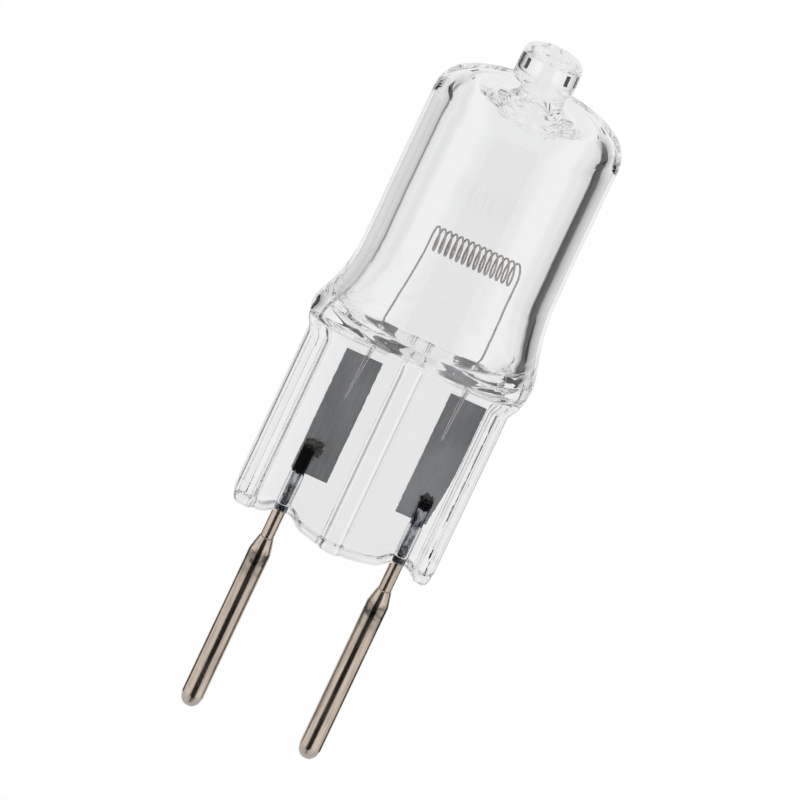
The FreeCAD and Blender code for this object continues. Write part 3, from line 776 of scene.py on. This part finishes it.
# %% Tungsten
BAKED_DARK, BAKED_LIGHT = (0.40, 0.36, 0.34), (0.60, 0.57, 0.55)
tree, place, into = new_material("tungsten_wire", [wire], Metallic=1.0)
grain = effect(tree, streaks, place, Fineness=9.0, Stretch=1.0)
tree.links.new(blend(tree, grain, BAKED_DARK, BAKED_LIGHT), into["Base Color"])
tree.links.new(ramp(tree, grain, 0.0, 1.0, 0.36, 0.5), into["Roughness"])
print("tungsten: fine grain")

# %% [markdown]
# The foils are rolled molybdenum: satin grey with lines along the roll and soft clouds from the heat of
# sealing. Burnt residue surrounds the places where the leads are welded on, and the right foil is a lighter
# grey in a broad patch near its own.

# %% Molybdenum foil
ROLLED_DARK, ROLLED_LIGHT, LIGHT_PATCH = (0.185, 0.19, 0.196), (0.30, 0.307, 0.318), (0.37, 0.38, 0.39)
CHAR_DARK, CHAR_LIGHT = (0.03, 0.03, 0.028), (0.13, 0.123, 0.11)
tree, place, into = new_material("molybdenum_foil", foils, Metallic=1.0)
rolled = effect(tree, streaks, place, Fineness=7.0, Stretch=9.0)
cloud = effect(tree, streaks, place, Fineness=0.45, Stretch=2.5)
tone = maths(tree, "ADD", maths(tree, "MULTIPLY", rolled, 0.45), maths(tree, "MULTIPLY", cloud, 0.55))
# A broad patch of the right foil, near its weld, is coloured a lighter grey.
light_patch = maths(tree, "MULTIPLY", effect(tree, spot, place, X=3.75, Z=15.7, Radius=2.7, Wander=1.6), 0.35)
grey = blend(tree, light_patch, blend(tree, tone, ROLLED_DARK, ROLLED_LIGHT), LIGHT_PATCH)
burnt_left = effect(tree, spot, place, X=-2.98, Z=14.8, Radius=0.6, Wander=0.7)
burnt_right = effect(tree, spot, place, X=3.17, Z=14.75, Radius=0.42, Wander=0.5)
char = effect(tree, streaks, place, Fineness=7.0, Stretch=0.8)
burnt = maths(tree, "MAXIMUM", burnt_left, burnt_right)
tree.links.new(blend(tree, burnt, grey, blend(tree, char, CHAR_DARK, CHAR_LIGHT)), into["Base Color"])
tree.links.new(ramp(tree, rolled, 0.0, 1.0, 0.32, 0.42), into["Roughness"])
tree.links.new(effect(tree, relief, place, Fineness=1.5, Height=1.5e-6), into["Normal"])
print("foils: rolled, with two burnt spots")

# %% [markdown]
# Inside the quartz a lead is silvery, with patches down to near black: painted reflection, for the dark marks
# and glints along it. Where it enters the seal a mottled band is painted nearly black as shade, and its weld
# is burnt black. Outside it has the same warm plating as the pin that is swaged on it. The left weld reaches
# further down.

# %% Leads
WARM, WARM_DARK = (0.70, 0.595, 0.505), (0.49, 0.415, 0.35)
STEEL, STEEL_PAINTED_DARK = (0.50, 0.52, 0.545), (0.015, 0.018, 0.024)
PAINTED_EXIT_SHADE, SOOT = (0.03, 0.032, 0.036), (0.006, 0.006, 0.007)
tree, place, into = new_material("lead_metal", leads, Metallic=1.0)
drawn = effect(tree, streaks, place, Fineness=7.0, Stretch=12.0)
# Painted reflection: patches from near black to silver stand in for the dark marks and glints along the lead.
painted_glints = effect(tree, streaks, place, Fineness=3.6, Stretch=3.0)
patchy = effect(tree, streaks, place, Fineness=2.2, Stretch=1.6)
outside = effect(tree, band, place, Low=-1.0, High=11.35, Soft=0.1, Wander=0.1)
# Painted shade: a mottled band, nearly black, where the lead enters the seal.
shaded = effect(tree, band, place, Low=11.15, High=12.35, Soft=0.25, Wander=0.9)
side_x = put(tree, "ShaderNodeSeparateXYZ", {0: place}).outputs["X"]
weld_low = ramp(tree, side_x, -MM, MM, 13.35, 14.25)
weld = effect(tree, band, place, Low=weld_low, High=16.0, Soft=0.15, Wander=0.5)
metal = blend(tree, outside, blend(tree, painted_glints, STEEL_PAINTED_DARK, STEEL), blend(tree, drawn, WARM_DARK, WARM))
metal = blend(tree, maths(tree, "MULTIPLY", shaded, ramp(tree, patchy, 0.1, 0.7)), metal, PAINTED_EXIT_SHADE)
tree.links.new(blend(tree, weld, metal, SOOT), into["Base Color"])
tree.links.new(ramp(tree, drawn, 0.0, 1.0, 0.12, 0.24), into["Roughness"])
print("leads: plated, crept and burnt")

# %% [markdown]
# The contact pins are plated and drawn, with fine lines along them. A mottled band just under the cone is
# darkened as painted shade, and the rounded end is a darker grey.

# %% Contact pins
CONE_SHADE, DARK_GREY_END = (0.10, 0.093, 0.08), (0.30, 0.29, 0.30)
tree, place, into = new_material("plated_pin", pins, Metallic=1.0)
drawn = effect(tree, streaks, place, Fineness=8.0, Stretch=14.0)
mottled = effect(tree, streaks, place, Fineness=2.6, Stretch=1.3)
# Painted shade: a darker mottled band just under the cone.
tight = effect(tree, band, place, Low=8.0, High=8.95, Soft=0.25, Wander=0.7)
loose = effect(tree, band, place, Low=7.0, High=8.95, Soft=0.8, Wander=1.0)
cone_band = maths(tree, "MAXIMUM", tight, maths(tree, "MULTIPLY", loose, 0.5))
painted_cone_shade = maths(tree, "MULTIPLY", cone_band, ramp(tree, mottled, 0.0, 0.9, 0.45, 1.0))
# The rounded end is coloured a darker grey.
ends = effect(tree, band, place, Low=-1.0, High=0.75, Soft=0.3, Wander=0.2)
plating = blend(tree, painted_cone_shade, blend(tree, drawn, WARM_DARK, WARM), CONE_SHADE)
tree.links.new(blend(tree, maths(tree, "MULTIPLY", ends, 0.4), plating, DARK_GREY_END), into["Base Color"])
tree.links.new(ramp(tree, drawn, 0.0, 1.0, 0.15, 0.24), into["Roughness"])
tree.links.new(effect(tree, relief, place, Fineness=6.0, Height=0.4e-6), into["Normal"])
print("materials:", [material.name for material in bpy.data.materials])

# %% [markdown]
# ## Camera
#
# The photograph was taken with a long lens from a little above, with the camera turned so that the lamp
# leans to the right. The camera looks at the lamp's middle, and a slight shift puts that point where the
# photograph has it.

# %% Camera
AZIMUTH, ELEVATION, LEAN = math.radians(-3.5), math.radians(18), math.radians(25.3)
AIM = Vector((0.0, 0.0, 19.2)) * MM
AIM_PIXEL, PICTURE = (405.4, 394.4), 800
LENS, SENSOR, FRAME_WIDTH = 1200.0, 36.0, 39.2 * MM
NEAREST, FARTHEST = 0.01, 10

level = math.cos(ELEVATION)
look = Vector((-math.sin(AZIMUTH) * level, math.cos(AZIMUTH) * level, -math.sin(ELEVATION)))
distance = FRAME_WIDTH * LENS / SENSOR
camera_data = bpy.data.cameras.new("camera")
camera_data.lens = LENS
camera_data.sensor_width = SENSOR
camera_data.clip_start = NEAREST
camera_data.clip_end = FARTHEST
camera_data.shift_x = 0.5 - AIM_PIXEL[0] / PICTURE
camera_data.shift_y = AIM_PIXEL[1] / PICTURE - 0.5
camera = into_scene("camera", camera_data)
bpy.context.scene.camera = camera
turned_by = look.to_track_quat("-Z", "Y").to_matrix() @ Matrix.Rotation(LEAN, 3, "Z")
camera.matrix_world = Matrix.Translation(AIM - look * distance) @ turned_by.to_4x4()
print("camera at %.2f m" % distance)

# %% [markdown]
# ## Studio
#
# The world is one even white dome, the softest light there is. The camera sees it as plain white. Seen
# through quartz it is a little greyer, as the photograph shows it, and in metal it is just below white.

# %% World
THROUGH_QUARTZ, IN_METAL = 0.845, 0.95
world = bpy.data.worlds.new("studio")
bpy.context.scene.world = world
world.use_nodes = True
tree = world.node_tree
rays = put(tree, "ShaderNodeLightPath").outputs
shown = ramp(tree, rays["Is Camera Ray"], 0.0, 1.0, IN_METAL, 1.0)
strength = ramp(tree, rays["Is Transmission Ray"], 0.0, 1.0, shown, THROUGH_QUARTZ)
background = tree.nodes["Background"].inputs
background["Color"].default_value = (1, 1, 1, 1)
tree.links.new(strength, background["Strength"])
print("world:", world.name)

# %% [markdown]
# The floor has to look white too, yet keep the lamp's shadow. So it glows white to the camera and a little
# greyer through quartz, with a small share of matt paint mixed in, and the shadow shows in that share.

# %% Floor
FLOOR_Z, FLOOR_HALF = -6.0, 1500.0
PAINT, GLOW_SHARE = (0.95, 0.95, 0.95, 1), 0.93


def stage_material(name):
    """An empty material with its node tree and the kinds of ray that it can tell apart."""
    material = bpy.data.materials.new(name)
    material.use_nodes = True
    tree = material.node_tree
    tree.nodes.remove(tree.nodes["Principled BSDF"])
    return material, tree, put(tree, "ShaderNodeLightPath").outputs


def mixed(tree, share, first, second):
    """The surface of a material: the first shader, with that share of the second one."""
    mix = put(tree, "ShaderNodeMixShader", {0: share, 1: first.outputs[0], 2: second.outputs[0]})
    tree.links.new(mix.outputs[0], tree.nodes["Material Output"].inputs["Surface"])


pale_floor, tree, rays = stage_material("pale_floor")
seen = maths(tree, "MAXIMUM", rays["Is Camera Ray"], rays["Is Transmission Ray"])
paint = put(tree, "ShaderNodeBsdfDiffuse", {"Color": PAINT})
strength = ramp(tree, rays["Is Transmission Ray"], 0.0, 1.0, 1.0, THROUGH_QUARTZ)
glow = put(tree, "ShaderNodeEmission", {"Strength": strength})
mixed(tree, ramp(tree, seen, 0.0, 1.0, 0.0, GLOW_SHARE), paint, glow)

floor_corners = np.array([(-1, -1, 0), (1, -1, 0), (1, 1, 0), (-1, 1, 0)]) * FLOOR_HALF
floor_mesh = quad_mesh("floor", floor_corners, np.arange(4)[None])
floor_mesh.materials.append(pale_floor)
floor = into_scene("floor", floor_mesh)
floor.location.z = FLOOR_Z * MM
print("floor at z = %.1f mm" % FLOOR_Z)

# %% [markdown]
# Glassware is photographed between cards: dark ones at the sides draw the lines along its walls, and light
# strips behind it brighten its middle. Real cards would darken the floor too, so these are seen only by
# chosen rays: those that have gone through quartz, or those that metal turns back. Each is a strip of a
# shell round the lamp. A shade along its bearing, kept as an attribute of its points, makes its edges as
# soft as a card's that is out of focus.

# %% Cards for glass and metal
CARD_R, LIGHT_R, NEAR_R, FRONT_R = 30.0, 29.0, 16.0, 60.0
CARD_COLUMNS = 49


def card_material(name, kinds, tone):
    """A tone by the card's shade, to rays of all those kinds; the card is clear to every other ray."""
    material, tree, rays = stage_material(name)
    chosen = put(tree, "ShaderNodeAttribute", attribute_name="shade").outputs["Fac"]
    for kind in kinds:
        chosen = maths(tree, "MULTIPLY", chosen, maths(tree, "GREATER_THAN", rays[kind], 0.5))
    clear = put(tree, "ShaderNodeBsdfTransparent")
    toned = put(tree, "ShaderNodeEmission", {"Color": (tone, tone, tone, 1)})
    mixed(tree, chosen, clear, toned)
    return material


def card(name, shades, low, high, material, radius=CARD_R, high_radius=None, lean=0.0):
    """A strip of a shell, with pairs of bearing (degrees from straight behind to the right) and shade."""
    bearings, strengths = np.array(shades, float).T
    fine = np.linspace(bearings[0], bearings[-1], CARD_COLUMNS)
    turn = np.radians(fine - math.degrees(AZIMUTH) + np.array([[0], [lean]]))
    r, z = np.array([radius, high_radius or radius])[:, None], np.array([low, high])[:, None]
    points = grid_of(r * np.sin(turn) + BARREL_X, r * np.cos(turn), z).reshape(-1, 3)
    mesh = quad_mesh(name, points, grid_cells(2, CARD_COLUMNS, False))
    shade = mesh.attributes.new("shade", "FLOAT", "POINT")
    shade.data.foreach_set("value", np.tile(np.interp(fine, bearings, strengths), 2))
    mesh.materials.append(material)
    piece = into_scene(name, mesh)


dark_through = card_material("card_through_glass", ["Is Transmission Ray"], 0.012)
light_through = card_material("light_through_glass", ["Is Transmission Ray"], 1.0)
dark_in_metal = card_material("card_in_metal", ["Is Glossy Ray", "Is Reflection Ray"], 0.03)
print("card materials:", dark_through.name, light_through.name, dark_in_metal.name)

# %% [markdown]
# The right card grows fully dark towards its outer edge and gives the broad band at the right wall. The
# left one is grey with a narrow dark strip, for the fine line there. Their upper halves lean with the bend
# of the dome. Small near cards mark the exhaust tip, and the last four stand where the pins mirror them.

# %% Cards round the lamp
CARD_LOW, CARD_BEND, CARD_RIGHT_TOP, CARD_LEFT_TOP = -5.9, 31, 44, 42
RIGHT_SHADES = [(23, 0), (27, 0.12), (32, 0.225), (37, 0.35), (41, 0.45), (44.5, 0.6), (47, 1),
                (63.5, 1), (66, 0)]
LEFT_SHADES = [(-68, 0), (-65, 0.25), (-63, 0.8), (-60.5, 0.8), (-59, 0.5), (-57, 0.35), (-50, 0.27),
               (-42, 0.17), (-37, 0.1), (-28, 0)]
LIGHT_RIGHT = [(6, 0), (9, 0.45), (15, 0.45), (20, 0)]
LIGHT_LEFT = [(-20, 0), (-15, 0.45), (-9, 0.45), (-6, 0)]
TIP_LOW, TIP_CARDS = 31.3, ((-31.5, -24, 33.4), (24, 31.5, 33.4), (-74, -50, 33.8), (50, 74, 33.8))
IN_FRONT, METAL_RIGHT, METAL_LEFT = [(154, 1), (206, 1)], [(48, 1), (75, 1)], [(-75, 1), (-48, 1)]
METAL_TOP, FRONT_LOW, FRONT_TOP, INNER_R = 40.0, -5.8, 60, 6
RIGHT_LEAN, LEFT_LEAN = -18, 16

card("card_right", RIGHT_SHADES, CARD_LOW, CARD_BEND, dark_through)
card("card_right_top", RIGHT_SHADES, CARD_BEND, CARD_RIGHT_TOP, dark_through, lean=RIGHT_LEAN)
card("card_left", LEFT_SHADES, CARD_LOW, CARD_BEND, dark_through)
card("card_left_top", LEFT_SHADES, CARD_BEND, CARD_LEFT_TOP, dark_through, lean=LEFT_LEAN)
card("light_right", LIGHT_RIGHT, CARD_LOW, CARD_BEND, light_through, LIGHT_R)
card("light_left", LIGHT_LEFT, CARD_LOW, CARD_BEND, light_through, LIGHT_R)
for number, (first, last, high) in enumerate(TIP_CARDS, 1):
    card("card_tip_%d" % number, [(first, 1), (last, 1)], TIP_LOW, high, dark_through, NEAR_R)
card("card_floor", IN_FRONT, CARD_LOW, FRONT_LOW, dark_in_metal, INNER_R, FRONT_R)
card("card_front", IN_FRONT, FRONT_LOW, FRONT_TOP, dark_in_metal, FRONT_R)
card("card_metal_right", METAL_RIGHT, CARD_LOW, METAL_TOP, dark_in_metal, NEAR_R)
card("card_metal_left", METAL_LEFT, CARD_LOW, METAL_TOP, dark_in_metal, NEAR_R)

# %% [markdown]
# A ray crosses many walls of quartz before it leaves the lamp, and each card in its way uses up a step as
# well. With too few steps it would end inside and leave a black speck.

# %% Light paths
cycles = bpy.context.scene.cycles
cycles.max_bounces = 40
cycles.transmission_bounces = 40
cycles.glossy_bounces = 24
cycles.transparent_max_bounces = 16
bpy.context.scene.view_settings.view_transform = "Standard"
print("steps through glass:", cycles.transmission_bounces)
